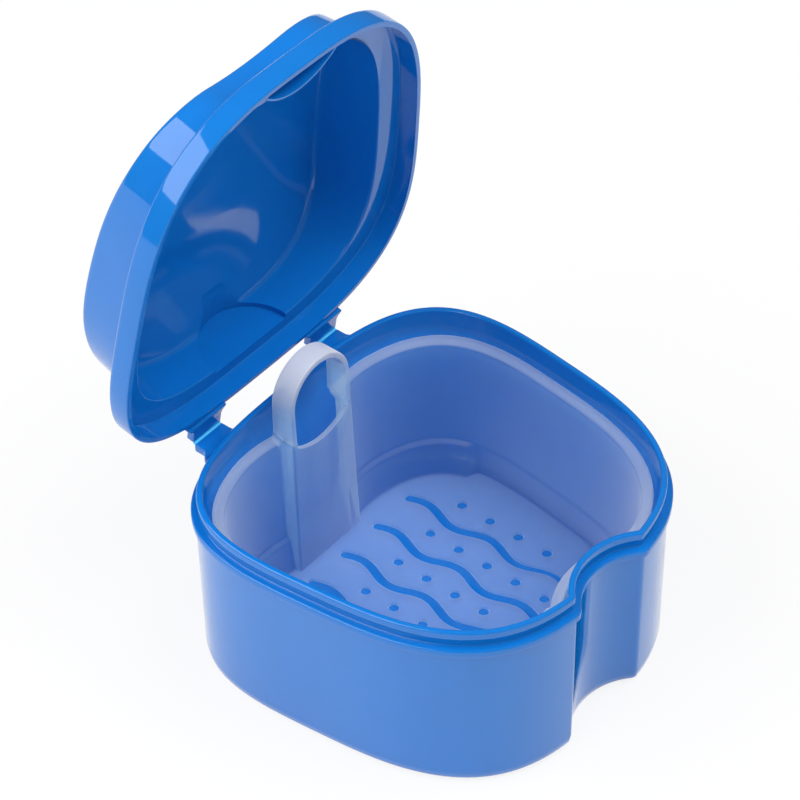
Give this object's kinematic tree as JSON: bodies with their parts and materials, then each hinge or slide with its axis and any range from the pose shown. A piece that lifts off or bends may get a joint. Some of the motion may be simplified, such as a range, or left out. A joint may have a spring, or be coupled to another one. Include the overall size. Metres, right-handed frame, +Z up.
{
  "type": "denture case",
  "caption": "Hinged denture case with a domed lid, a thumb notch in front and a lift-out strainer basket with an arched handle.",
  "frame": {"origin": "the middle of the rim outline, on the flat underside of the box", "axes": "+Z up, +Y to the back where the hinges are, +X to the right seen from the front"},
  "size_m": [0.0852, 0.1024, 0.1256],
  "materials": {
    "blue_polypropylene": "glossy injection-moulded blue polypropylene",
    "flexed_polypropylene": "thin blue polypropylene, paler where it has been bent",
    "frosted_polypropylene": "frosted, translucent natural polypropylene"
  },
  "bodies": {
    "base": {"base_tub": "blue_polypropylene", "base_hinge_tab_left": "blue_polypropylene", "base_hinge_tab_right": "blue_polypropylene", "hinge_film_left": "flexed_polypropylene", "hinge_film_right": "flexed_polypropylene"},
    "lid": {"lid_shell": "blue_polypropylene", "lid_notch_web": "blue_polypropylene", "lid_hinge_tab_left": "blue_polypropylene", "lid_hinge_tab_right": "blue_polypropylene"},
    "basket": {"strainer_basket": "frosted_polypropylene", "basket_handle": "frosted_polypropylene"}
  },
  "joints": [
    {"name": "lid_hinge", "type": "hinge", "parent": "base", "child": "lid", "pos_m": [0, 0.04556, 0.03849], "axis": [1, 0, 0], "range_deg": [-99.03, 80.97]},
    {"name": "basket_lift", "type": "slide", "parent": "base", "child": "basket", "axis": [0, 0, 1], "range_m": [0, 0.061]}
  ]
}
